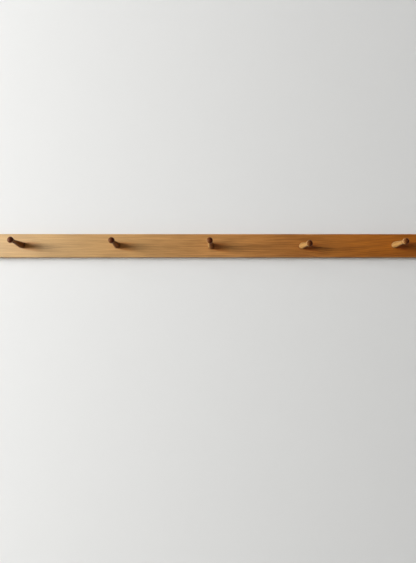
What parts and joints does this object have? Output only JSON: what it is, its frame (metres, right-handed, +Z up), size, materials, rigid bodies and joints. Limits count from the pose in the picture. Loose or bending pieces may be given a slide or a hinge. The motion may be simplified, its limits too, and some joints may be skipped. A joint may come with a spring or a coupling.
{
  "type": "wall hook rack",
  "caption": "Long wooden peg rail: an eased board on the wall with a row of turned wooden pegs, round-headed and narrow-necked, held by wedged tenons and hung on hidden keyhole plates.",
  "frame": {"origin": "centre of the board's back face, on the wall plane, midway along the board and halfway up it", "axes": "+X along the board, to the right as seen from the room; +Y into the wall; +Z up"},
  "size_m": [1.25, 0.089, 0.063],
  "materials": {
    "board_wood": "satin varnish over fine straight grain",
    "peg_wood": "turned and satin varnished, darker on the end grain of the head",
    "wedge_wood": "sawn and sanded flush",
    "plate_zinc": "zinc plated",
    "screw_zinc": "zinc plated"
  },
  "bodies": {
    "root": {"rail": "board_wood", "peg_1": "peg_wood", "peg_2": "peg_wood", "peg_3": "peg_wood", "peg_4": "peg_wood", "peg_5": "peg_wood", "wedge_1": "wedge_wood", "wedge_2": "wedge_wood", "wedge_3": "wedge_wood", "wedge_4": "wedge_wood", "wedge_5": "wedge_wood", "keyhole_plate_left": "plate_zinc", "keyhole_plate_right": "plate_zinc", "plate_screw_left_bottom": "screw_zinc", "plate_screw_left_top": "screw_zinc", "plate_screw_right_bottom": "screw_zinc", "plate_screw_right_top": "screw_zinc"}
  },
  "joints": []
}
